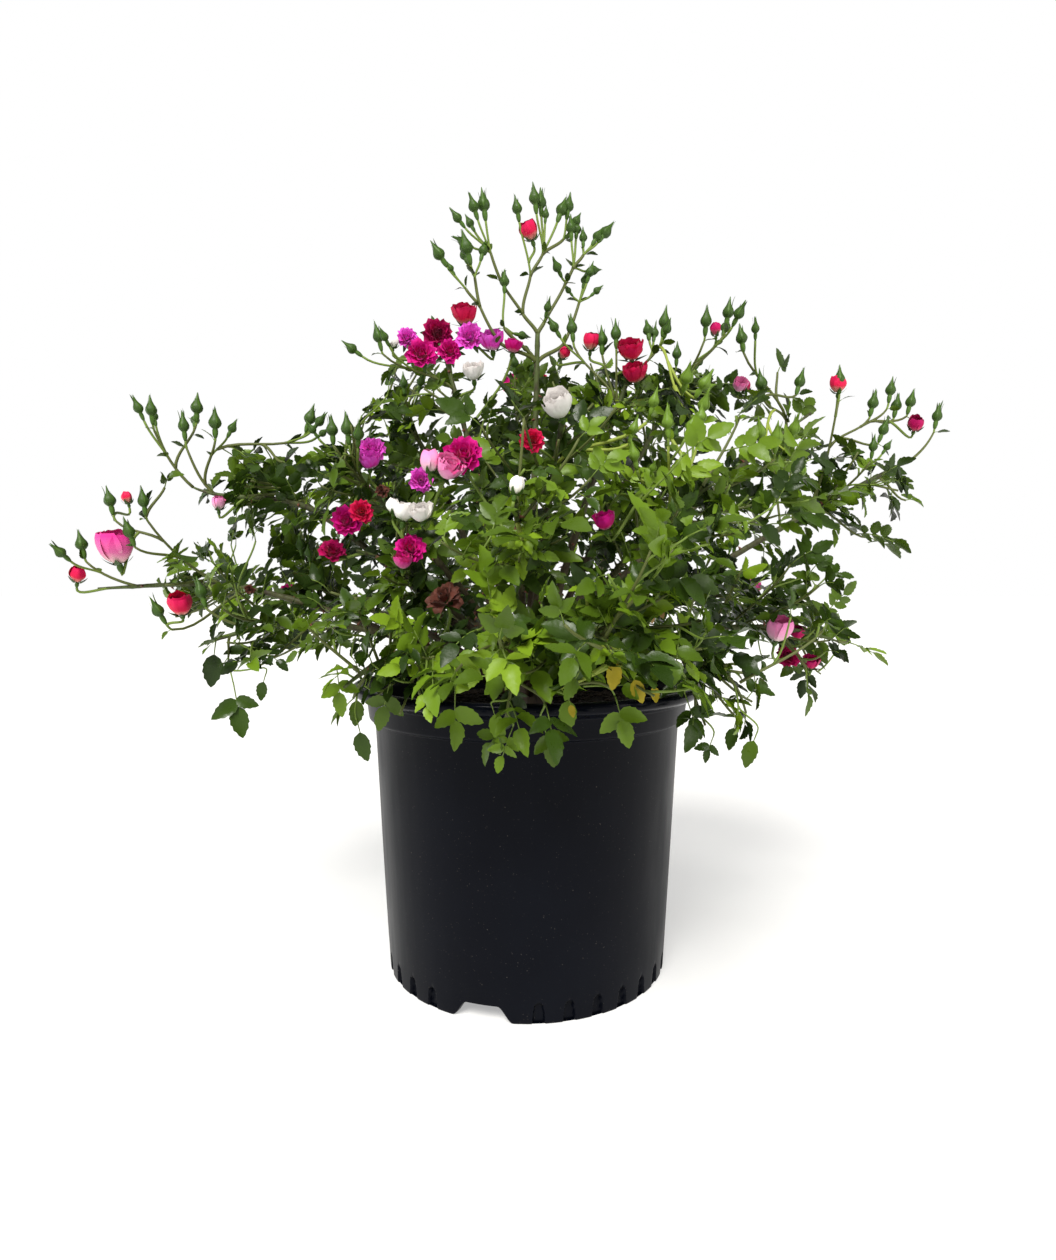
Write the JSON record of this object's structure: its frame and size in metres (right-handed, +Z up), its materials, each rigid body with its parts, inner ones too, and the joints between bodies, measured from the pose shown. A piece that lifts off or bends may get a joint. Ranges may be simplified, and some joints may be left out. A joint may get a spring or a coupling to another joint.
{
  "type": "rose bush",
  "caption": "Flowering rose bush: canes with leaves, buds and double blooms rising from a short stem in a round nursery pot with a rolled lip and notched foot.",
  "frame": {"origin": "centre of the pot's footprint, on the surface it stands on", "axes": "+Z up, +X to the right of the front view along the bush's widest reach, +Y away from the front"},
  "size_m": [0.7311, 0.5188, 0.6331],
  "materials": {
    "pot_plastic": "near-black moulded plastic with a satin sheen, a matt band under a glossier rolled lip, fine dust and a few scuffs",
    "potting_mix": "dark brown bark and peat mix, loose and matt, with a few pale grains",
    "bark": "green to brown cane bark with small thorns, browner and rougher at the foot",
    "foliage": "dark glossy green toothed leaflets, yellow-green young ones, with red, magenta, pink and white blooms and green buds"
  },
  "bodies": {
    "root": {"bough_back_high": "bark", "bough_back_left": "bark", "bough_back_low_left": "bark", "bough_back_low_right": "bark", "bough_back_right": "bark", "bough_back_side_left": "bark", "bough_back_side_right": "bark", "bough_front": "bark", "bough_front_centre": "bark", "bough_front_left": "bark", "bough_front_low": "bark", "bough_front_low_left": "bark", "bough_front_low_right": "bark", "bough_front_right": "bark", "bough_high_left": "bark", "bough_left_far": "bark", "bough_left_high": "bark", "bough_left_low": "bark", "bough_left_mid": "bark", "bough_right_far": "bark", "bough_right_high": "bark", "bough_right_low": "bark", "bough_top": "bark", "bough_up_mid": "bark", "bough_up_right": "bark", "bough_upper_left": "bark", "mass_back_high": "foliage", "mass_back_left": "foliage", "mass_back_low_left": "foliage", "mass_back_low_right": "foliage", "mass_back_right": "foliage", "mass_back_side_left": "foliage", "mass_back_side_right": "foliage", "mass_front": "foliage", "mass_front_centre": "foliage", "mass_front_left": "foliage", "mass_front_low": "foliage", "mass_front_low_left": "foliage", "mass_front_low_right": "foliage", "mass_front_right": "foliage", "mass_high_left": "foliage", "mass_left_far": "foliage", "mass_left_high": "foliage", "mass_left_low": "foliage", "mass_left_mid": "foliage", "mass_right_far": "foliage", "mass_right_high": "foliage", "mass_right_low": "foliage", "mass_top": "foliage", "mass_up_mid": "foliage", "mass_up_right": "foliage", "mass_upper_left": "foliage", "pot": "pot_plastic", "potting_mix": "potting_mix", "short_stem": "bark"}
  },
  "joints": []
}
